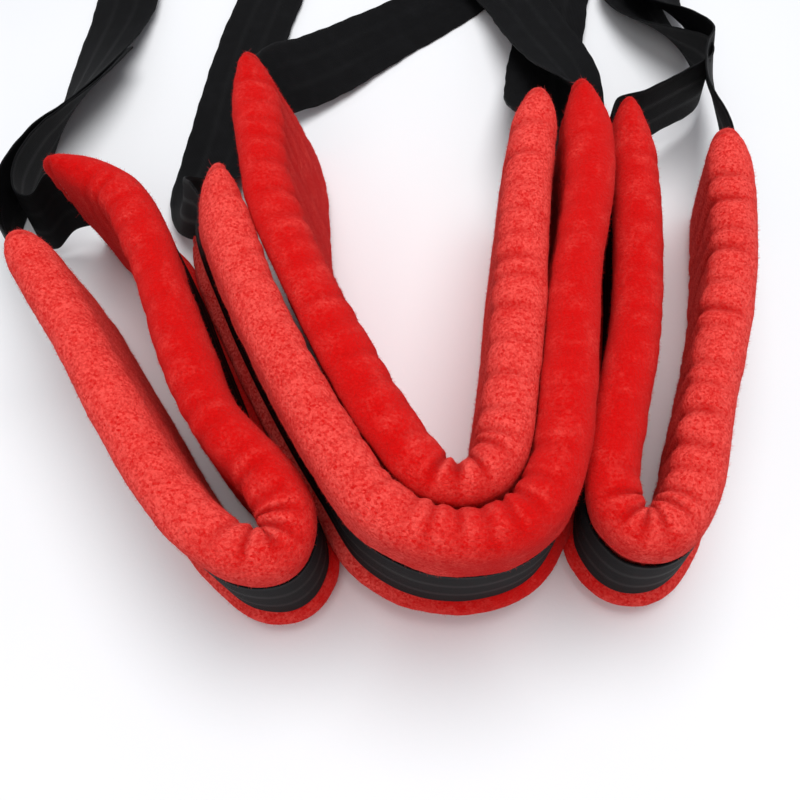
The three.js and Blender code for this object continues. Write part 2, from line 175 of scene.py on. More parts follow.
class PadSizes(bpy.types.PropertyGroup):
    body_width: length_property("Body pad width", "Height of a body pad on its edge", 135)
    leg_width: length_property("Leg pad width", "Height of a leg pad on its edge", 110)
    thickness: length_property("Thickness", "Thickness of the foam in its cover", 27)
    body_recess: length_property("Body recess", "How deep the webbing sits in a body pad", 8)
    outer_recess: length_property("Outer recess", "The same in the outer body sling's pad", 4.5)
    leg_recess: length_property("Leg recess", "How deep the webbing sits in a leg pad", 3)
    gather: length_property("Gather", "Depth of the folds inside a bend", 4.2)
    # The brushed colour is painted sheen: the paler red where the nap lies against the light.
    light_colour: colour_property(
        "Brushed colour", "Plush where its pile lies against the light", (1.0, 0.098, 0.08, 1))
    deep_colour: colour_property(
        "Deep colour", "Plush where its pile lies with the light", (0.71, 0.0032, 0.0032, 1))


class StrapSizes(bpy.types.PropertyGroup):
    width: length_property("Width", "Width of the webbing", 54)
    thickness: length_property("Thickness", "Thickness of the webbing", 2)
    sewn_gap: length_property("Sewn gap", "Room between sewn layers", 0.6)
    doubled: length_property("Doubled length", "Doubled webbing at an adjustable end", 150)
    doubled_fixed: length_property("Fixed loop", "Doubled webbing at a sewn end", 48)
    colour: colour_property("Colour", "Colour of the webbing", (0.0035, 0.0035, 0.004, 1))


class MetalSizes(bpy.types.PropertyGroup):
    wire: length_property("Ring wire", "Thickness of a D-ring's wire", 6)
    ring_reach: length_property("Ring reach", "From a D-ring's bar to its bow", 34)
    side_room: length_property("Side room", "Room between the webbing and the ring", 4.5)
    corner: length_property("Corner", "Radius of a D-ring's corners", 6)
    colour: colour_property("Colour", "Colour of the plated steel", (0.72, 0.73, 0.74, 1))


class HarnessSizes(bpy.types.PropertyGroup):
    pad: bpy.props.PointerProperty(type=PadSizes)
    strap: bpy.props.PointerProperty(type=StrapSizes)
    metal: bpy.props.PointerProperty(type=MetalSizes)


def sizes():
    return bpy.context.scene.harness_sizes


def mm(value):
    return value / MM


# ---- curves and noise ----
def bell(x):
    return np.exp(-x ** 2)


def way_along(line):
    """How far along a line each of its places lies."""
    steps = np.linalg.norm(np.diff(line, axis=0), axis=1)
    return np.concatenate([[0], np.cumsum(steps)])


def headings(ahead):
    """Each direction's angle in plan, without jumps of a whole turn."""
    return np.unwrap(np.arctan2(ahead[:, 1], ahead[:, 0]))


def spline(points, t):
    """A centripetal curve through the points, at each t from 0 to 1."""
    p = np.asarray(points, float)
    p = np.vstack([2 * p[0] - p[1], p, 2 * p[-1] - p[-2]])
    spans = len(p) - 3
    x = np.clip(np.asarray(t, float), 0, 1) * spans
    i = np.minimum(x.astype(int), spans - 1)
    w = (x - i)[:, None]
    a, b, c, d = p[i], p[i + 1], p[i + 2], p[i + 3]

    def knot(u, v):
        return np.maximum(np.linalg.norm(u - v, axis=1), 1e-6)[:, None] ** 0.5

    d0, d1, d2 = knot(a, b), knot(b, c), knot(c, d)
    m1 = ((b - a) / d0 - (c - a) / (d0 + d1) + (c - b) / d1) * d1
    m2 = ((c - b) / d1 - (d - b) / (d1 + d2) + (d - c) / d2) * d1
    return b + m1 * w + (3 * (c - b) - 2 * m1 - m2) * w ** 2 + (2 * (b - c) + m1 + m2) * w ** 3


def unit(v):
    return v / np.maximum(np.linalg.norm(v, axis=-1, keepdims=True), 1e-12)


def smooth_step(low, high, x):
    t = np.clip((x - low) / (high - low), 0, 1)
    return t * t * (3 - 2 * t)


def ripple(x, y, seed, octaves=4):
    """Smooth noise of two coordinates, about -1 to 1, from turned sine waves."""
    rng = np.random.default_rng(seed)
    total = np.zeros(np.broadcast(x, y).shape)
    for k in range(octaves * 3):
        angle, phase = rng.uniform(0, math.pi), rng.uniform(0, 2 * math.pi)
        pitch = 1.7 ** (k // 3) * rng.uniform(0.8, 1.25)
        wave = np.sin((x * math.cos(angle) + y * math.sin(angle)) * pitch + phase)
        total = total + wave / 1.6 ** (k // 3)
    return total / 3.6


def soften(values, radius):
    """Averages a row of values over a bell of that many samples."""
    reach = np.arange(-3 * radius, 3 * radius + 1)
    weights = bell(reach / radius)
    padded = np.pad(values, 3 * radius, mode="edge")
    return np.convolve(padded, weights / weights.sum(), mode="valid")


# ---- meshes ----
def add_object(name, data):
    made = bpy.data.objects.new(name, data)
    bpy.context.scene.collection.objects.link(made)
    return made


def new_piece(name, vertices, faces, material, uv=None, attributes=None):
    """A smooth mesh object from vertices in the rows' millimetres."""
    mesh = bpy.data.meshes.new(name)
    places = (np.asarray(vertices) + HARNESS_AT) * MM
    mesh.from_pydata(places.tolist(), [], faces)
    for key, values in (attributes or {}).items():
        layer = mesh.attributes.new(key, "FLOAT", "POINT")
        layer.data.foreach_set("value", np.asarray(values, np.float32))
    if uv is not None:
        corner = np.zeros(len(mesh.loops), int)
        mesh.loops.foreach_get("vertex_index", corner)
        mesh.uv_layers.new(name="Surface").data.foreach_set("uv", uv[corner].ravel())
    work = bmesh.new()
    work.from_mesh(mesh)
    bmesh.ops.recalc_face_normals(work, faces=work.faces)
    work.to_mesh(mesh)
    work.free()
    mesh.shade_smooth()
    mesh.materials.append(material)
    return add_object(name, mesh)


def grid_faces(rows, columns):
    """Faces of four over a grid whose columns close on themselves."""
    faces = []
    for k in range(rows - 1):
        a, b = k * columns, (k + 1) * columns
        for i in range(columns):
            j = (i + 1) % columns
            faces.append((a + i, b + i, b + j, a + j))
    return faces


def end_faces(start, columns):
    """Closes a ring that is alike on its two sides, with faces from side to side."""
    half = columns // 2
    faces = [(start, start + 1, start + columns - 1)]
    for i in range(1, half - 1):
        faces.append((start + i, start + i + 1, start + columns - i - 1, start + columns - i))
    faces.append((start + half - 1, start + half, start + half + 1))
    return faces


def tube_faces(start, rows, sides):
    """Faces round a thin tube of rings, with both its ends closed."""
    faces = [tuple(start + corner for corner in face) for face in grid_faces(rows, sides)]
    last = start + (rows - 1) * sides
    faces.append(tuple(range(start, start + sides)))
    faces.append(tuple(reversed(range(last, last + sides))))
    return faces


def sweep(name, rings, material, uv=None, attributes=None):
    """A closed skin through rings of points, one ring for each row."""
    rows, columns = rings.shape[:2]
    faces = grid_faces(rows, columns)
    faces += end_faces(0, columns) + end_faces((rows - 1) * columns, columns)
    flat_uv = None if uv is None else uv.reshape(-1, 2)
    return new_piece(name, rings.reshape(-1, 3), faces, material, flat_uv, attributes)


# ---- materials ----
class Shader:
    """A new material and short ways to add nodes to it."""

    def __init__(self, name):
        self.material = bpy.data.materials.new(name)
        self.material.use_nodes = True
        self.tree = self.material.node_tree
        self.surface = self.tree.nodes["Principled BSDF"]

    def feed(self, socket, value):
        """Gives an input another node's output, or a constant."""
        if isinstance(value, bpy.types.NodeSocket):
            self.tree.links.new(value, socket)
        else:
            socket.default_value = value

    def node(self, kind, **inputs):
        made = self.tree.nodes.new(kind)
        for key, value in inputs.items():
            self.feed(made.inputs[key.replace("_", " ")], value)
        return made

    def math(self, operation, a, b=0.0, clamp=False):
        made = self.tree.nodes.new("ShaderNodeMath")
        made.operation = operation
        made.use_clamp = clamp
        self.feed(made.inputs[0], a)
        self.feed(made.inputs[1], b)
        return made.outputs[0]

    def mix(self, factor, a, b):
        made = self.tree.nodes.new("ShaderNodeMix")
        made.data_type = "RGBA"
        for index, value in ((0, factor), (6, a), (7, b)):
            self.feed(made.inputs[index], value)
        return made.outputs[2]

    def noise(self, vector, scale, detail=3.0, roughness=0.55):
        made = self.node("ShaderNodeTexNoise", Vector=vector, Scale=scale, Detail=detail,
                         Roughness=roughness)
        return made.outputs["Fac"]

    def stretched(self, vector, scale):
        return self.node("ShaderNodeMapping", Vector=vector, Scale=scale).outputs[0]

    def object_place(self):
        return self.tree.nodes.new("ShaderNodeTexCoord").outputs["Object"]

    def own_uv(self):
        made = self.tree.nodes.new("ShaderNodeUVMap")
        made.uv_map = "Surface"
        return made.outputs[0]

    def attribute(self, name):
        made = self.tree.nodes.new("ShaderNodeAttribute")
        made.attribute_name = name
        return made.outputs["Fac"]

    def bump(self, height, distance, strength=1.0, normal=None):
        made = self.node("ShaderNodeBump", Height=height, Distance=distance, Strength=strength)
        if normal is not None:
            self.feed(made.inputs["Normal"], normal)
        return made.outputs[0]

    def finish(self, colour, roughness, normal, **constants):
        inputs = {"Base Color": colour, "Roughness": roughness, "Normal": normal}
        inputs.update((key.replace("_", " "), value) for key, value in constants.items())
        for key, value in inputs.items():
            self.feed(self.surface.inputs[key], value)
        return self.material


def plush_material():
    """Short-pile plush: painted sheen of the nap with random patches, painted shade in the
    creases, speckle where the pile stands, and a soft sheen.
    """
    pad = sizes().pad
    shade = Shader("Red Plush")
    place = shade.object_place()
    # The "pile" attribute is painted sheen and shade: paler where the nap lies against the light,
    # on the tops and on the ridges of the gathers, and darker in their creases.
    pile = shade.attribute("pile")
    patches = shade.math("SUBTRACT", shade.noise(place, 62.0, 4.0, 0.6), 0.5)
    tufts = shade.noise(place, 720.0, 3.0, 0.7)
    cells = shade.node("ShaderNodeTexVoronoi", Vector=place, Scale=760.0)
    grains = shade.node("ShaderNodeSeparateColor", Color=cells.outputs["Color"]).outputs[0]
    fibres = shade.noise(shade.stretched(shade.own_uv(), (500.0, 2600.0, 1.0)), 1.0, 2.0, 0.6)
    # Painted sheen of the nap, with random patches.
    sheen_and_patches = shade.math("ADD", pile, shade.math("MULTIPLY", patches, 1.5), clamp=True)
    speckle = shade.math("ADD", shade.math("MULTIPLY", shade.math("SUBTRACT", tufts, 0.5), 2.2),
                         shade.math("MULTIPLY", shade.math("SUBTRACT", grains, 0.5), 0.85))
    rough_pile = shade.math("ADD", 0.12, shade.math("MULTIPLY", sheen_and_patches, 0.8))
    lift = shade.math("ADD", shade.math("MULTIPLY", sheen_and_patches, 0.62),
                      shade.math("MULTIPLY", speckle, rough_pile), clamp=True)
    colour = shade.mix(lift, tuple(pad.deep_colour), tuple(pad.light_colour))
    # Painted shade in the creases of the gathers and along the hem seams.
    shadow = shade.math("MULTIPLY", shade.attribute("crease_shade"), 0.75, clamp=True)
    colour = shade.mix(shadow, colour, (0.42, 0.002, 0.002, 1))
    height = shade.math("ADD", tufts, shade.math("MULTIPLY", fibres, 0.6))
    normal = shade.bump(height, 0.0016, 0.9)
    return shade.finish(colour, 0.9, normal, Sheen_Weight=0.22, Sheen_Roughness=0.4,
                        Sheen_Tint=(1.0, 0.22, 0.2, 1), Specular_IOR_Level=0.06)


def webbing_material():
    """Flat woven webbing: a fine twill and three faint bands."""
    strap = sizes().strap
    warp_pitch, weft_pitch, band_count = 1.2 * MM, 1.1 * MM, 3
    shade = Shader("Black Webbing")
    parts = shade.node("ShaderNodeSeparateXYZ", Vector=shade.own_uv())
    across, along = parts.outputs[0], parts.outputs[1]
    warp = shade.math("SINE", shade.math("MULTIPLY", across, 2 * math.pi / warp_pitch))
    diagonal = shade.math("ADD", shade.math("MULTIPLY", across, 0.6), along)
    weft = shade.math("SINE", shade.math("MULTIPLY", diagonal, 2 * math.pi / weft_pitch))
    weave = shade.math("ADD", shade.math("MULTIPLY", warp, 0.5), weft)
    bands = shade.math("COSINE", shade.math(
        "MULTIPLY", across, band_count * 2 * math.pi / strap.width))
    rib = shade.math("POWER", shade.math("MAXIMUM", bands, 0.0), 2.0)
    grime = shade.noise(shade.object_place(), 90.0, 4.0)
    dust = shade.math("MULTIPLY", shade.math("SUBTRACT", grime, 0.42), 0.5, clamp=True)
    tone = shade.math("ADD", dust, shade.math("MULTIPLY", weave, 0.05), clamp=True)
    colour = shade.mix(tone, tuple(strap.colour), (0.02, 0.02, 0.023, 1))
    rough = shade.math("SUBTRACT", 0.7, shade.math("MULTIPLY", rib, 0.16))
    weave_bump = shade.bump(weave, 0.00018, 0.8)
    normal = shade.bump(rib, 0.0003, 0.5, weave_bump)
    return shade.finish(colour, rough, normal, Specular_IOR_Level=0.09)


def thread_material(name, colour, lighter):
    """Twisted thread, a little lighter along its strands."""
    shade = Shader(name)
    strands = shade.noise(shade.object_place(), 2400.0, 2.0)
    tone = shade.mix(strands, colour, lighter)
    normal = shade.bump(strands, 0.00015, 0.6)
    return shade.finish(tone, 0.5, normal, Sheen_Weight=0.3, Sheen_Roughness=0.4)


def steel_material():
    """Bright plated steel with fine polishing lines and a little tarnish."""
    shade = Shader("Plated Steel")
    place = shade.object_place()
    lines = shade.noise(shade.stretched(place, (2200.0, 260.0, 900.0)), 1.0, 3.0)
    spots = shade.noise(place, 130.0, 4.0)
    worn = shade.math("MULTIPLY", shade.math("SUBTRACT", spots, 0.55), 2.5, clamp=True)
    colour = shade.mix(worn, tuple(sizes().metal.colour), (0.46, 0.46, 0.45, 1))
    rough = shade.math("ADD", 0.16, shade.math("MULTIPLY", spots, 0.2))
    normal = shade.bump(lines, 0.00004, 0.5)
    return shade.finish(colour, rough, normal, Metallic=1.0)


def floor_material():
    """A pale cloth sheet with a fine weave."""
    shade = Shader("Pale Table Sheet")
    place = shade.object_place()
    weave = shade.noise(place, 420.0, 3.0)
    drift = shade.noise(place, 6.0, 2.0)
    colour = shade.mix(drift, (0.815, 0.825, 0.845, 1), (0.85, 0.855, 0.87, 1))
    normal = shade.bump(weave, 0.0003, 0.25)
    return shade.finish(colour, 0.75, normal, Specular_IOR_Level=0.25)


def material(name, make, *values):
    """The material of that name, made when it is first asked for."""
    return bpy.data.materials.get(name) or make(*values)


def plush():
    return material("Red Plush", plush_material)


def webbing():
    return material("Black Webbing", webbing_material)


def red_thread():
    return material("Red Thread", thread_material, "Red Thread",
                    (0.42, 0.004, 0.004, 1), (0.75, 0.05, 0.05, 1))


def black_thread():
    return material("Black Thread", thread_material, "Black Thread",
                    (0.003, 0.003, 0.0035, 1), (0.02, 0.02, 0.022, 1))


def steel():
    return material("Plated Steel", steel_material)


# ---- pads ----
# The cover's shape, in millimetres.
HEM_SEAM = 7.0  # from an end of a pad to its hem's seam
CORNER, CORNER_LENGTH = 7.0, 11.0  # how far an end's corners are rounded, and over what length
RIM = 7.5  # from the webbing's edge to where its channel starts
SHOULDER, SHOULDER_WIDTH = 10.0, 7.0  # where the cover bulges beside the webbing
UPPER_BULGE, TABLE_BULGE = 0.4, 4.2
FOLD_PITCH = 9.0  # between gathers in a bend
FIRST_FOLD = 30.0  # from an end to its nearest gather


class Pad:
    """One pad's middle surface, sampled evenly along its length."""

    def __init__(self, name, samples=460):
        spec, pad = SLINGS[name], sizes().pad
        self.name, self.spec = name, spec
        self.width = mm(pad.leg_width if spec["pad"] == "leg" else pad.body_width)
        self.recess = mm(getattr(pad, f"{spec['pad']}_recess"))
        self.thickness = mm(pad.thickness)
        rows = np.array(spec["rows"], float)
        rows[:, [0, 2]] += spec["aside"] * self.thickness
        fine = np.linspace(0, 1, 4001)
        top = spline(rows[:, :2], fine)
        foot = spline(rows[:, 2:], fine)
        way = way_along((top + foot) / 2)
        self.length = way[-1]
        self.way = np.linspace(0, self.length, samples)
        t = np.interp(self.way, way, fine)
        self.top = np.column_stack([spline(rows[:, :2], t), np.full(samples, self.width)])
        self.foot = np.column_stack([spline(rows[:, 2:], t), np.zeros(samples)])
        along = unit(np.gradient(self.top, axis=0)) + unit(np.gradient(self.foot, axis=0))
        along[:, 2] = 0
        self.along = unit(along)
        self.outward = np.cross(self.along, UP)
        self.turn = soften(np.abs(np.gradient(headings(self.along), self.way)), 6)
        self.to_end = np.minimum(self.way, self.length - self.way)
        self.thin_ends()
        crushed = spec.get("crush", 0.8) / np.maximum(self.turn_at_edges(), 1e-4)
        self.inner_half = soften(np.minimum(self.half, crushed), 6)

    def thin_ends(self):
        """Half the thickness at each sample: full along the pad, and down to a hem at its ends."""
        left = self.way < self.length / 2
        taper, hem = (np.where(left, a, b) for a, b in zip(*self.spec["ends"]))
        full = np.sin(np.clip(self.to_end / taper, 0, 1) * math.pi / 2) ** 0.8
        self.half = (hem + (self.thickness - hem) * full) / 2
        self.swell = (self.half / self.half.max())[:, None]

    def turn_at_edges(self):
        """The tighter turn of the top and the foot lines."""
        turns = []
        for line in (self.top, self.foot):
            ahead = np.gradient(line[:, :2], axis=0)
            step = np.linalg.norm(ahead, axis=1)
            turns.append(soften(np.abs(np.gradient(headings(ahead))) / step, 6))
        return np.maximum(*turns)

    def place(self, n, h):
        """Points at n outward of the middle surface and height h, one row for each sample."""
        share = (h / self.width)[..., None]
        base = self.foot[:, None] * (1 - share) + self.top[:, None] * share
        return base + self.outward[:, None] * n[..., None]

    def channel_floor(self):
        """How far outward of the middle surface the webbing's channel lies."""
        return self.half - self.recess * (2 * self.half / self.thickness) ** 2


def section(width, thickness, count=128):
    """A stadium's outline: shares of the half thickness, heights and the outline's own normals."""
    radius = thickness / 2
    straight = width - thickness
    total = 2 * straight + 2 * math.pi * radius
    shape = []
    for k in range(count):
        s = (k / count) * total
        arc = math.pi * radius
        if s < arc / 2:
            angle = -math.pi / 2 + s / radius
            shape.append((math.cos(angle), radius + radius * math.sin(angle), angle))
        elif s < arc / 2 + straight:
            shape.append((1.0, radius + (s - arc / 2), 0.0))
        elif s < 1.5 * arc + straight:
            angle = (s - arc / 2 - straight) / radius
            shape.append((math.cos(angle), width - radius + radius * math.sin(angle), angle))
        elif s < 1.5 * arc + 2 * straight:
            down = s - 1.5 * arc - straight
            shape.append((-1.0, width - radius - down, math.pi))
        else:
            angle = math.pi + (s - 1.5 * arc - 2 * straight) / radius
            shape.append((math.cos(angle), radius + radius * math.sin(angle), angle))
    return np.array(shape)


def fold_rows(pad):
    """Gathers along the pad: each one's place, depth, slant and width."""
    rng = np.random.default_rng(pad.spec["seed"])
    folds = []
    at = FIRST_FOLD
    left, right = pad.spec["puckers"]
    while at < pad.length - FIRST_FOLD:
        turn = np.interp(at, pad.way, pad.turn)
        bend = min(1.0, turn * pad.thickness * 0.9)
        arm = left if at < pad.length / 2 else right
        depth = max(bend * rng.uniform(0.7, 1.15), 0.75 * arm * rng.uniform(0.35, 1.0))
        slant = rng.uniform(-0.12, 0.12)
        folds.append((at, depth, slant, rng.uniform(1.6, 2.8) + 1.6 * (1 - bend)))
        at += FOLD_PITCH * rng.uniform(0.8, 1.35) * (1.0 + 0.9 * (1 - bend))
    return folds


def outline_heights(pad, height):
    """Heights round the pad at each sample."""
    half = pad.width / 2
    low = height < half
    # At its ends the roll thins with the pad, so its edge rounds over less.
    near_edge = np.clip(1 - 2 * np.minimum(height, pad.width - height) / pad.thickness, 0, 1)
    spread = pad.thickness / 2 * (1 - pad.swell) * near_edge * 0.6
    h = np.where(low, height - spread, height + spread)
    corner = CORNER * np.clip(1 - pad.to_end[:, None] / CORNER_LENGTH, 0, 1) ** 2.2
    return np.where(low, h + corner * (1 - h / half), h - corner * (h / half - 1))


def face_offsets(pad, share, height, rim, beside):
    """How far the smooth cover stands outward of the middle surface."""
    n = (np.maximum(share, 0) * pad.half[:, None]
         - np.maximum(-share, 0) * pad.inner_half[:, None])
    # The webbing pulls a channel into the outer face.
    n = n - np.where(share > 0.5, rim * (pad.recess * pad.swell ** 2), 0.0)
    # The cover bulges above the webbing, and more where it rests on the table below it.
    shoulder = bell((beside - SHOULDER) / SHOULDER_WIDTH)
    shoulder = shoulder * np.where(height > pad.width / 2, UPPER_BULGE, TABLE_BULGE)
    crown = 0.7 * np.sin(np.clip(height / pad.width, 0, 1) * math.pi)
    return n + np.sign(share) * np.where(share > 0, shoulder, crown) * pad.swell


def gathers(pad, share, height):
    """Folds across the inside of the bend and over the top, shallower on the outer face: how
    far they lift the cover, how deep each point is in a crease for the painted shade there, and
    how far it is up a ridge for the painted highlight there."""
    reach = 0.15 + 0.85 * smooth_step(0.8, -0.25, share)
    reach = reach * (0.45 + 0.55 * smooth_step(0.25, 0.95, height / pad.width))
    reach = np.where(share > 0.9, 0.06, reach)
    fold = np.zeros((len(pad.way), share.shape[1]))
    crease_shade = np.zeros_like(fold)
    ridge = np.zeros_like(fold)
    for at, deep, slant, wide in fold_rows(pad):
        line = at + slant * (height - pad.width) + 1.6 * np.sin(height / 17.0 + at)
        gap = (pad.way[:, None] - line) / wide
        fold += deep * (0.34 * bell(gap / 2.4) - bell(gap))
        crease_shade = np.maximum(crease_shade, deep * bell(gap * 1.5))
        ridge = np.maximum(ridge, deep * bell((gap - 1.7) / 0.7))
    # In a very tight bend there is less room inside for the folds.
    tight = smooth_step(0.03, 0.06, pad.turn)[:, None]
    room = 1 - 0.55 * tight * np.maximum(-share, 0)
    fold = np.clip(fold, -1.25, 0.6) * mm(sizes().pad.gather) * reach * pad.swell * room
    return fold, crease_shade * reach, np.clip(ridge * reach, 0, 1)


def pad_surface(pad):
    """The plush's rings of points, how deep in a crease and how far up a ridge each of them
    lies for the painted shade and painted highlight, and the outline that the rings follow."""
    seed = pad.spec["seed"]
    shape = section(pad.width, pad.thickness)
    share, height, angle = (shape[:, k][None] for k in range(3))
    way, to_end = pad.way[:, None], pad.to_end[:, None]
    strap_half = mm(sizes().strap.width) / 2
    from_middle = np.abs(height - pad.width / 2)
    rim = smooth_step(strap_half + RIM, strap_half + 0.5, from_middle)
    beside = from_middle - strap_half
    n = face_offsets(pad, share, height, rim, beside)
    h = outline_heights(pad, height)
    fold, crease_shade, ridge = gathers(pad, share, height)
    # The cover's own unevenness, and small scallops where the webbing's seams gather it.
    slack = ripple(way / 16.0, height / 13.0, seed + 1) * 0.75
    scallop = np.sin(way / 5.2 + 1.3 * np.sin(way / 23.0)) * 0.35
    scallop = scallop * bell((beside - 5.0) / 4.5) * (share > 0)
    pile_grain = ripple(way / 1.9, (height + 40 * share) / 1.7, seed + 2, 3) * 0.16
    seam = -1.1 * bell((to_end - HEM_SEAM) / 1.3) * np.clip(np.abs(share) * 2, 0, 1)
    quiet = np.clip(to_end / 14.0, 0.15, 1)
    lift = (fold + slack * (0.35 + 0.65 * np.abs(np.cos(angle)))) * quiet + pile_grain
    lift = lift + scallop * quiet + seam
    # Under the webbing the cover is pressed flat.
    lift = np.where(rim * (share > 0.9) > 0.2, np.minimum(lift, 0.0) * 0.4, lift)
    frill = ripple(way / 4.0, height / 5.0, seed + 5, 3) * 1.1
    n = n + np.cos(angle) * lift + frill * np.clip(1 - to_end / 9.0, 0, 1)
    h = np.maximum(h + np.sin(angle) * lift, 0.35)
    # Painted shade along the hem seams.
    crease_shade = np.clip(crease_shade + 0.42 * bell((to_end - HEM_SEAM) / 1.6), 0, 1)
    return pad.place(n, h), crease_shade, ridge, shape


def nap_sheen_of(pad, shape):
    """Painted sheen of the nap at each point: how far its pile lies against the light, with random
    streaks.
    """
    left, right = pad.spec["pile"]
    turn = pad.spec["turn"]
    across = smooth_step(turn - 0.07, turn + 0.07, pad.way / pad.length)[:, None]
    amount = left * (1 - across) + right * across
    # Painted highlight: the top of the pad is painted paler.
    top = smooth_step(0.0, 0.9, np.sin(shape[:, 2]))[None]
    streak = ripple(pad.way[:, None] / 21.0, shape[None, :, 1] / 30.0, pad.spec["seed"] + 9)
    return np.clip(amount * (0.86 + 0.12 * top) + 0.12 * streak + 0.02, 0, 1)


def make_pad(name):
    """One plush pad. The stitches and the pile that sit on it need what this gives back."""
    pad = Pad(name)
    rings, crease_shade, ridge, shape = pad_surface(pad)
    rows, columns = rings.shape[:2]
    around = np.arange(columns) / columns * 2 * (pad.width + pad.thickness)
    uv = np.dstack(np.broadcast_arrays(pad.way[:, None] * MM, around[None] * MM))
    # Painted highlight on the ridges of the gathers and painted shade in their creases.
    pile = np.clip(nap_sheen_of(pad, shape) + 0.8 * ridge - 0.6 * crease_shade, 0, 1)
    data = {"pile": pile.ravel(), "crease_shade": crease_shade.ravel()}
    piece = sweep(f"{name}_plush_pad", rings, plush(), uv=uv, attributes=data)
    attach(piece, BODY)
    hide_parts(f"{name}_cover", f"{name}_foam")
    return pad, rings, shape, data


# ---- webbing ----
# Rooms round the hangers, in millimetres.
TABLE_ROOM = 0.4
SLIDE_BAR, SLIDE_ROOM = 3.0, 0.4
RING_ROOM = 0.8


def hanger_heights(slide):
    """Heights of the doubled webbing's two layers, the bend's radius and the ring bar's height."""
    strap, metal = sizes().strap, sizes().metal
    half = mm(strap.thickness) / 2
    lower = TABLE_ROOM + (SLIDE_BAR + SLIDE_ROOM if slide else 0) + half
    upper = lower + 2 * half + mm(strap.sewn_gap)
    bend = mm(metal.wire) / 2 + RING_ROOM + half
    return lower, upper, bend, max(TABLE_ROOM + half + bend, (lower + upper) / 2)


def heading_of(hanger):
    angle = math.radians(hanger.heading)
    return np.array([math.cos(angle), math.sin(angle), 0.0])


def hanger_place(name, hanger):
    aside = SLINGS[name]["aside"] * mm(sizes().pad.thickness)
    return np.array([hanger.x + aside, hanger.y, 0.0])


def doubled_length(hanger):
    strap = sizes().strap
    return mm(strap.doubled if hanger.slide else strap.doubled_fixed)


def hanger_loop(name, hanger, last_roll):
    """The doubled webbing round a D-ring's bar: places and the direction across."""
    lower, upper, bend, bar = hanger_heights(hanger.slide)
    length = doubled_length(hanger)
    ahead = heading_of(hanger)
    across = np.cross(UP, ahead) * (-1 if last_roll > 90 else 1)
    # The two layers run flat to where the turn round the bar starts.
    lead_in, turn_from, turn_to = 12.0, -2.6 * bend, 115
    profile = [(s, lower) for s in np.linspace(-length - lead_in, turn_from, 30)]
    for angle in np.radians(np.linspace(-turn_to, turn_to, 25)):
        profile.append((bend * math.cos(angle), bar + bend * math.sin(angle)))
    profile += [(s, upper) for s in np.linspace(turn_from, -length, 28)]
    at = hanger_place(name, hanger)
    places = np.array([at + ahead * s + UP * z for s, z in profile])
    return places, np.repeat(across[None], len(profile), axis=0)


def strap_past_end(name, first, points, hanger):
    """The strap from a pad's end: the free way, then the hanger's loop if it has one."""
    rows = np.array(points, float)
    rows[:, 0] += SLINGS[name]["aside"] * mm(sizes().pad.thickness)
    loop = hanger_loop(name, hanger, rows[-1, 3]) if hanger else None
    places = [first, *rows[:, :3]] + ([loop[0][0]] if hanger else [])
    rolls = [90.0, *rows[:, 3]] + ([rows[-1, 3]] if hanger else [])
    spans = len(places) - 1
    steps = [max(2, round(np.linalg.norm(places[i + 1] - places[i]) / 3)) for i in range(spans)]
    t = np.concatenate([(i + np.arange(1, s + 1) / s) / spans for i, s in enumerate(steps)])
    curve = spline(places, t)
    ahead = unit(spline(places, t + 1e-4) - spline(places, t - 1e-4))
    roll = np.interp(t * spans, np.arange(len(rolls)), rolls)
    roll = np.radians(soften(roll, 4))
    left = unit(np.cross(UP, ahead))
    across = left * np.cos(roll)[:, None] + UP * np.sin(roll)[:, None]
    strap = sizes().strap
    least = (mm(strap.width) / 2 * np.abs(np.sin(roll))
             + mm(strap.thickness) / 2 * np.abs(np.cos(roll)) + TABLE_ROOM)
    curve[:, 2] = np.maximum(curve[:, 2], least)
    if hanger:
        curve = np.vstack([curve[:-1], loop[0]])
        across = np.vstack([across[:-1], loop[1]])
    return curve, across


def strap_rings(places, across, outward, columns=44):
    """Rounded flat rings round the strap's places, with the surface's own coordinates."""
    strap = sizes().strap
    half, thin = mm(strap.width) / 2, mm(strap.thickness) / 2
    ahead = unit(np.gradient(places, axis=0))
    across = unit(across)
    face = unit(np.cross(ahead, across))
    face = np.where(np.isfinite(outward), outward, face)
    k = np.arange(columns) / columns * 2 * math.pi + math.pi / 2
    wide = np.sign(np.cos(k)) * np.abs(np.cos(k)) ** 0.55
    thick = np.sign(np.sin(k)) * np.abs(np.sin(k)) ** 0.28
    way = way_along(places)
    # The woven edges wander a little.
    edge = 0.25 * np.sin(way / 7.0) + 0.2 * np.sin(way / 2.9)
    rings = (places[:, None] + across[:, None] * (wide * half)[None, :, None]
             + across[:, None] * (edge[:, None] * (np.abs(wide) > 0.95))[..., None]
             * np.sign(wide)[None, :, None]
             + face[:, None] * (thick * thin)[None, :, None])
    uv = np.dstack(np.broadcast_arrays((wide * half)[None] * MM + strap.width / 2,
                                       way[:, None] * MM))
    rings[..., 2] = np.maximum(rings[..., 2], 0.2)
    return rings, uv


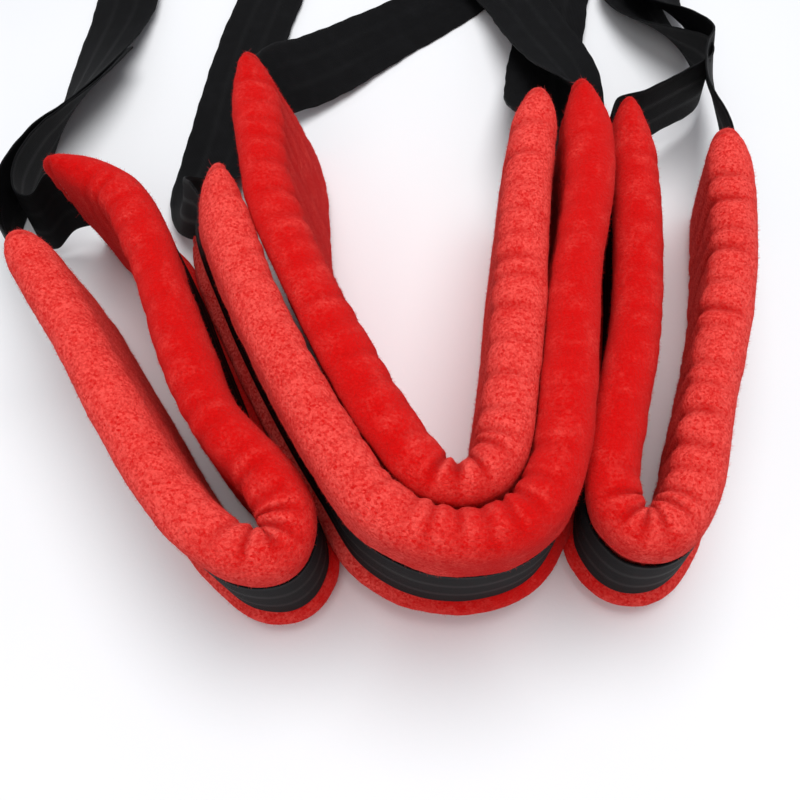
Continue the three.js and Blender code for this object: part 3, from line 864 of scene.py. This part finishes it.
def make_strap(pad):
    """One strap: the way past the left end, the stretch along the pad, and past the right end."""
    name, spec = pad.name, pad.spec
    strap = sizes().strap
    # Round the body pad's wide bend the webbing stands a little proud of its channel.
    proud = (1.2 if spec["pad"] == "outer" else 0.3) * np.clip(pad.turn * 40, 0, 1)
    away = pad.channel_floor() + mm(strap.sewn_gap) + mm(strap.thickness) / 2 + proud
    stretch = pad.place(away[:, None], np.full((len(pad.way), 1), pad.width / 2))[:, 0]
    lean = unit(pad.top - pad.foot)
    left, left_across = strap_past_end(name, stretch[0], spec["left"], spec.get("left_hanger"))
    right, right_across = strap_past_end(name, stretch[-1], spec["right"],
                                         spec.get("right_hanger"))
    places = np.vstack([left[::-1], stretch, right])
    across = np.vstack([left_across[::-1], lean, right_across])
    outward = np.full_like(places, np.nan)
    outward[len(left):len(left) + len(stretch)] = pad.outward
    # A direction that points against the one before it is turned round.
    flips = np.einsum("ij,ij->i", across[1:], across[:-1]) < 0
    across[1:] *= np.where(np.cumsum(flips) % 2, -1, 1)[:, None]
    rings, uv = strap_rings(places, across, outward)
    piece = sweep(f"{name}_strap", rings, webbing(), uv=uv)
    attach(piece, BODY)
    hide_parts(f"{name}_webbing")


# ---- stitching ----
def stitch_mesh(name, stitches, thread, radius=0.38):
    """Short rounded stitches, each between two places and lying on a face."""
    sides, rows = 6, ((0.0, 0.35), (0.15, 0.9), (0.5, 1.0), (0.85, 0.9), (1.0, 0.35))
    vertices, faces = [], []
    for start, end, face in stitches:
        ahead = unit(end - start)
        beside = unit(np.cross(ahead, face))
        base = len(vertices)
        for share, size in rows:
            middle = start + (end - start) * share - face * (0.25 if size < 0.5 else 0.0)
            for i in range(sides):
                turn = 2 * math.pi * i / sides
                vertices.append(middle + (beside * math.cos(turn) + face * math.sin(turn))
                                * radius * size)
        faces += tube_faces(base, len(rows), sides)
    return new_piece(name, np.array(vertices), faces, thread)


def dashes(line, face, pitch=4.2, stitch=3.0):
    """Stitches along a row of places, with the face's direction at each."""
    way = way_along(line)
    made = []
    at = pitch / 2
    while at + stitch < way[-1]:
        ends = [np.array([np.interp(at + d, way, line[:, k]) for k in range(3)])
                for d in (0.0, stitch)]
        normal = np.array([np.interp(at, way, face[:, k]) for k in range(3)])
        made.append((ends[0], ends[1], unit(normal)))
        at += pitch
    return made


def box_stitches(name, hanger):
    """A sewn box near the end of the doubled webbing's upper layer. At a fixed end it is longer
    and has a cross in it."""
    length, half = doubled_length(hanger), 21.0
    near, far = (3.0, 9.0) if hanger.slide else (5.0, 34.0)
    near, far = near - length, far - length
    ahead = heading_of(hanger)
    across = np.cross(UP, ahead)
    _, upper, _, _ = hanger_heights(hanger.slide)
    base = hanger_place(name, hanger) + UP * (upper + mm(sizes().strap.thickness) / 2 + 0.1)

    def spot(s, w):
        return base + ahead * s + across * w

    corners = [(near, -half), (far, -half), (far, half), (near, half), (near, -half)]
    lines = list(zip(corners[:-1], corners[1:]))
    if not hanger.slide:
        lines += [((near, -half), (far, half)), ((far, -half), (near, half))]
    made = []
    for a, b in lines:
        line = np.linspace(spot(*a), spot(*b), 12)
        made += dashes(line, np.repeat(UP[None], len(line), axis=0))
    return made


def webbing_stitches(name):
    return [stitch for _, hanger in hangers(name) for stitch in box_stitches(name, hanger)]


def hem_stitches(rings, pad, margin=12):
    """A line of stitches down both faces of each sewn end, short of the rounded edges."""
    half = rings.shape[1] // 2
    faces = ((margin, half - margin, 1), (half + margin, 2 * half - margin, -1))
    made = []
    for at in (HEM_SEAM, pad.length - HEM_SEAM):
        row = np.argmin(np.abs(pad.way - at))
        for first, last, side in faces:
            line = rings[row, first:last]
            face = np.repeat(pad.outward[row][None] * side, len(line), axis=0)
            made += dashes(line + face * 0.15, face, 4.6, 3.2)
    return made


def loose_threads(name, rings, pad, count=14):
    """Frayed ends of thread and long pile that stand out of the hems, a number at each end."""
    steps, sides = 6, 4
    rng = np.random.default_rng(pad.spec["seed"] + 77)
    vertices, faces = [], []
    columns = rings.shape[1]
    for row, inward in ((0, 1), (rings.shape[0] - 1, -1)):
        back = pad.along[row] * -inward
        for _ in range(count):
            column = int(columns * (0.5 + rng.normal(0, 0.14))) % columns
            if rng.random() < 0.35:
                column = rng.integers(0, columns)
            start = rings[row, column]
            way = unit(back * rng.uniform(0.3, 1) + rng.normal(0, 0.45, 3))
            bow = rng.normal(0, 0.5, 3)
            length = rng.uniform(1.5, 5)
            beside = unit(np.cross(way, UP + 0.1))
            over = np.cross(way, beside)
            base = len(vertices)
            for k in range(steps):
                u = k / (steps - 1)
                middle = start - way * 0.8 + way * length * u + bow * length * 0.35 * u * u
                size = 0.13 * (1 - 0.75 * u)
                for i in range(sides):
                    turn = 2 * math.pi * i / sides
                    vertices.append(middle + (beside * math.cos(turn)
                                              + over * math.sin(turn)) * size)
            faces += tube_faces(base, steps, sides)
    places = np.array(vertices)
    places[:, 2] = np.maximum(places[:, 2], 0.3)
    return new_piece(name, places, faces, red_thread())


def standing_pile(name, rings, shape, data, pad, count=26000):
    """Fine fibres of the plush that stand out of its surface as slim three-sided points."""
    rng = np.random.default_rng(pad.spec["seed"] + 200)
    rows, columns = rings.shape[:2]
    at, side = rng.uniform(0, rows - 1.001, count), rng.uniform(0, columns, count)
    near = np.abs(shape[:, 1] - pad.width / 2) < mm(sizes().strap.width) / 2 + 2.5
    channel = near & (shape[:, 0] > 0.5)
    kept = ~channel[side.astype(int) % columns]
    at, side = at[kept], side[kept]
    r, c = at.astype(int), side.astype(int) % columns
    u, v = (at - r)[:, None], (side - np.floor(side))[:, None]
    d = (c + 1) % columns
    root = ((rings[r, c] * (1 - v) + rings[r, d] * v) * (1 - u)
            + (rings[r + 1, c] * (1 - v) + rings[r + 1, d] * v) * u)
    along = unit(rings[r + 1, c] - rings[r, c])
    around = unit(rings[r, d] - rings[r, c])
    normal = unit(np.cross(along, around))
    middle = rings.mean(axis=1)[r]
    normal *= np.sign(np.einsum("ij,ij->i", normal, root - middle))[:, None]
    lay = np.where(rng.random(len(r)) < 0.5, -1, 1)[:, None] * 0.3
    way = unit(normal + along * (0.5 + lay) + rng.normal(0, 0.4, root.shape))
    length = rng.uniform(0.9, 2.1, (len(r), 1))
    across = unit(np.cross(way, around + 0.01))
    over = np.cross(way, across)
    thick, base = 0.085, root - way * 0.3
    corners = [base + (across * math.cos(a) + over * math.sin(a)) * thick
               for a in (0.0, 2 * math.pi / 3, 4 * math.pi / 3)]
    places = np.stack([*corners, root + way * length], axis=1).reshape(-1, 3)
    places[:, 2] = np.maximum(places[:, 2], 0.2)
    start = 4 * np.arange(len(r))[:, None, None]
    faces = (start + np.array([[0, 2, 1], [0, 1, 3], [1, 2, 3], [2, 0, 3]])).reshape(-1, 3)
    spots = {key: np.repeat(values.reshape(rows, columns)[r, c], 4)
             for key, values in data.items()}
    # Painted sheen: the standing fibres are painted paler than the surface under them.
    spots["pile"] = np.clip(spots["pile"] + 0.25, 0, 1)
    uv = np.repeat(np.column_stack([at, side]) * MM, 4, axis=0)
    return new_piece(name, places, faces.tolist(), plush(), uv, spots)


# ---- metal ----
def deselect_all():
    bpy.ops.object.select_all(action="DESELECT")


def d_outline(share):
    """The D's centre line at a share of its length: places and outward normals in its plane."""
    metal, strap = sizes().metal, sizes().strap
    wire, corner = mm(metal.wire), mm(metal.corner)
    half = mm(strap.width) / 2 + mm(metal.side_room) + wire / 2
    rise = mm(metal.ring_reach) - corner
    line = [(x, 0.0) for x in np.linspace(0, half - corner, 12)]
    line += [(half - corner + corner * math.cos(a), corner + corner * math.sin(a))
             for a in np.linspace(-math.pi / 2, 0, 9)[1:]]
    line += [(half * math.cos(a), corner + rise * math.sin(a))
             for a in np.linspace(0, math.pi, 61)[1:]]
    line += [(corner - half + corner * math.cos(a), corner + corner * math.sin(a))
             for a in np.linspace(math.pi, 1.5 * math.pi, 9)[1:]]
    line += [(x, 0.0) for x in np.linspace(corner - half, 0, 12)[1:]]
    line = np.array(line)
    way = way_along(line)
    at, step = np.mod(share, 1.0) * way[-1], 0.4

    def spot(distance):
        distance = np.mod(distance, way[-1])
        return np.column_stack([np.interp(distance, way, line[:, k]) for k in (0, 1)])

    ahead = unit(spot(at + step) - spot(at - step))
    return spot(at), np.column_stack([ahead[:, 1], -ahead[:, 0]])


def make_ring(name, label, hanger):
    """Bends a torus into a D round the hanger's bar."""
    metal = sizes().metal
    round_radius = 30 * MM
    deselect_all()
    bpy.ops.mesh.primitive_torus_add(
        major_radius=round_radius, minor_radius=metal.wire / 2, major_segments=144,
        minor_segments=20, location=(0, 0, 0))
    ring = bpy.context.active_object
    ring.name = f"{label}_d_ring"
    co = np.zeros(len(ring.data.vertices) * 3)
    ring.data.vertices.foreach_get("co", co)
    co = co.reshape(-1, 3)
    share = np.arctan2(co[:, 1], co[:, 0]) / (2 * math.pi) + 0.25
    out = mm(np.hypot(co[:, 0], co[:, 1]) - round_radius)
    place, normal = d_outline(share)
    _, _, _, bar = hanger_heights(hanger.slide)
    wire, reach = mm(metal.wire), mm(metal.ring_reach)
    flat = place + normal * out[:, None]
    # The ring leans down until its bow is just clear of the table.
    tilt = -math.asin((bar - wire / 2 - TABLE_ROOM) / reach)
    local = np.column_stack([flat, mm(co[:, 2])])
    turned = np.column_stack([
        local[:, 0],
        local[:, 1] * math.cos(tilt) - local[:, 2] * math.sin(tilt),
        local[:, 1] * math.sin(tilt) + local[:, 2] * math.cos(tilt)])
    ahead = heading_of(hanger)
    beside = np.array([ahead[1], -ahead[0], 0.0])
    at = hanger_place(name, hanger) + UP * bar
    world = at + turned[:, :1] * beside + turned[:, 1:2] * ahead + turned[:, 2:] * UP
    ring.data.vertices.foreach_set("co", ((world + HARNESS_AT) * MM).ravel())
    bpy.ops.object.shade_smooth()
    ring.data.update()
    ring.data.materials.append(steel())
    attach(ring, f"{label}_ring")
    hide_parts(f"{label}_ring")


def make_slide(label):
    """Rounds off the edges of the three-bar slide."""
    deselect_all()
    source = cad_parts[f"{label}_slide"]
    mesh = source.data.copy()
    mesh.materials.clear()
    slide = add_object(f"{label}_three_bar_slide", mesh)
    bpy.context.view_layer.objects.active = slide
    slide.select_set(True)
    bpy.ops.object.mode_set(mode="EDIT")
    bpy.ops.mesh.select_all(action="SELECT")
    bpy.ops.mesh.remove_doubles(threshold=0.00001)
    bpy.ops.mesh.dissolve_limited(angle_limit=math.radians(3))
    bpy.ops.mesh.normals_make_consistent(inside=False)
    bpy.ops.object.mode_set(mode="OBJECT")
    bevel = slide.modifiers.new("Rounded edges", "BEVEL")
    bevel.width = 0.45 * MM
    bevel.segments = 3
    bevel.limit_method = "ANGLE"
    bevel.angle_limit = math.radians(38)
    bpy.ops.object.modifier_apply(modifier="Rounded edges")
    bpy.ops.object.shade_smooth_by_angle(angle=math.radians(45))
    mesh.materials.append(steel())
    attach(slide, f"{label}_slide")
    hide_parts(f"{label}_slide")


def hangers(name):
    """The hangers of a sling with their labels."""
    spec = SLINGS[name]
    sides = [side for side in ("left", "right") if spec.get(f"{side}_hanger")]
    for side in sides:
        label = f"{name}_{side}" if len(sides) == 2 else name
        yield label, spec[f"{side}_hanger"]


# ---- operators ----
class HARNESS_OT_pads(bpy.types.Operator):
    """Make the four plush pads with their hems and loose threads"""
    bl_idname = "harness.pads"
    bl_label = "Plush Pads"

    def execute(self, context):
        for name in SLINGS:
            pad, rings, shape, data = make_pad(name)
            hems = stitch_mesh(f"{name}_hem_stitches", hem_stitches(rings, pad), red_thread())
            fray = loose_threads(f"{name}_loose_threads", rings, pad)
            pile = standing_pile(f"{name}_standing_pile", rings, shape, data, pad)
            for piece in (hems, fray, pile):
                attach(piece, BODY)
        return {"FINISHED"}


class HARNESS_OT_straps(bpy.types.Operator):
    """Make the webbing of the four slings and its stitching"""
    bl_idname = "harness.straps"
    bl_label = "Webbing"

    def execute(self, context):
        for name in SLINGS:
            make_strap(Pad(name))
            sewn = stitch_mesh(f"{name}_strap_stitches", webbing_stitches(name), black_thread())
            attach(sewn, BODY)
        return {"FINISHED"}


class HARNESS_OT_metal(bpy.types.Operator):
    """Make the D-rings and the three-bar slides"""
    bl_idname = "harness.metal"
    bl_label = "Rings and Slides"

    def execute(self, context):
        for name in SLINGS:
            for label, hanger in hangers(name):
                make_ring(name, label, hanger)
                if hanger.slide:
                    make_slide(label)
        return {"FINISHED"}


class HARNESS_OT_stage(bpy.types.Operator):
    """Set the pale table, the soft light and the camera"""
    bl_idname = "harness.stage"
    bl_label = "Stage"

    def execute(self, context):
        make_floor()
        make_lights()
        make_camera()
        return {"FINISHED"}


def make_floor():
    deselect_all()
    bpy.ops.mesh.primitive_plane_add(size=8.0, location=(0, 0, 0))
    floor = bpy.context.active_object
    floor.name = "table_top"
    floor.data.materials.append(floor_material())


def area_light(name, place, aim, size, power, colour=(1, 1, 1)):
    light = bpy.data.lights.new(name, "AREA")
    light.shape = "DISK"
    light.size = size
    light.energy = power
    light.color = colour
    holder = add_object(name, light)
    holder.location = place
    holder.rotation_euler = (Vector(aim) - Vector(place)).to_track_quat("-Z", "Y").to_euler()


def make_lights():
    world = bpy.data.worlds.new("Studio")
    world.use_nodes = True
    background = world.node_tree.nodes["Background"]
    background.inputs["Color"].default_value = (0.93, 0.95, 1.0, 1)
    background.inputs["Strength"].default_value = 0.4
    bpy.context.scene.world = world
    area_light("overhead", (0.1, -0.05, 1.9), (0, -0.15, 0), 1.5, 31)
    area_light("front", (-0.3, -1.4, 1.5), (0, -0.3, 0.0), 0.9, 6.5, (1.0, 0.99, 0.97))


def make_camera():
    """A 40 mm lens, half a metre up over the rows' origin, looking 61 degrees down."""
    camera = bpy.data.cameras.new("camera")
    camera.lens = 40
    camera.sensor_width = 36
    holder = add_object("camera", camera)
    holder.location = (HARNESS_AT[0] * MM, HARNESS_AT[1] * MM, 0.498)
    holder.rotation_euler = (math.radians(90 - 61), 0, 0)
    bpy.context.scene.camera = holder


class HARNESS_PT_panel(bpy.types.Panel):
    """Buttons for the harness's pieces"""
    bl_idname = "HARNESS_PT_panel"
    bl_label = "Padded Sling Harness"
    bl_space_type = "VIEW_3D"
    bl_region_type = "UI"
    bl_category = "Harness"

    def draw(self, context):
        column = self.layout.column()
        for operator in OPERATORS:
            column.operator(operator.bl_idname)
        for group in (sizes().pad, sizes().strap, sizes().metal):
            for key in group.bl_rna.properties.keys():
                if key not in ("rna_type", "name"):
                    column.prop(group, key)


OPERATORS = (HARNESS_OT_pads, HARNESS_OT_straps, HARNESS_OT_metal, HARNESS_OT_stage)
CLASSES = (PadSizes, StrapSizes, MetalSizes, HarnessSizes, *OPERATORS, HARNESS_PT_panel)


def register():
    for item in CLASSES:
        bpy.utils.register_class(item)
    bpy.types.Scene.harness_sizes = bpy.props.PointerProperty(type=HarnessSizes)


def unregister():
    del bpy.types.Scene.harness_sizes
    for item in reversed(CLASSES):
        bpy.utils.unregister_class(item)


def main():
    register()
    bpy.ops.harness.pads()
    bpy.ops.harness.straps()
    bpy.ops.harness.metal()
    bpy.ops.harness.stage()
    bpy.context.scene.view_settings.view_transform = "Standard"


if __name__ == "__main__":
    main()
